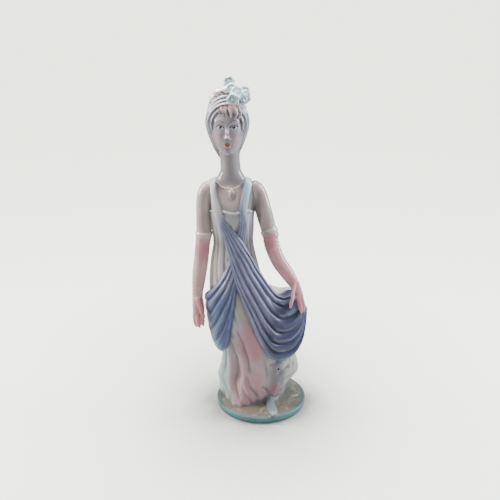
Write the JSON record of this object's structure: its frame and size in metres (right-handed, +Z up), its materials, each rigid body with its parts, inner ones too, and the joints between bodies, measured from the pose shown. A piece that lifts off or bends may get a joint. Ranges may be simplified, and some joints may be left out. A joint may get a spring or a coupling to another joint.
{
  "type": "porcelain lady figurine",
  "caption": "Glazed porcelain figurine of a standing lady in a turban, draped shawl and long gloves, on a round base.",
  "frame": {"origin": "centre of the round base's flat underside", "axes": "+Z up, the lady faces -Y, her right arm is on the -X side"},
  "size_m": [0.1032, 0.083, 0.2987],
  "materials": {
    "porcelain": "hand-painted porcelain under a clear gloss glaze"
  },
  "bodies": {
    "root": {"figurine": "porcelain"}
  },
  "joints": []
}
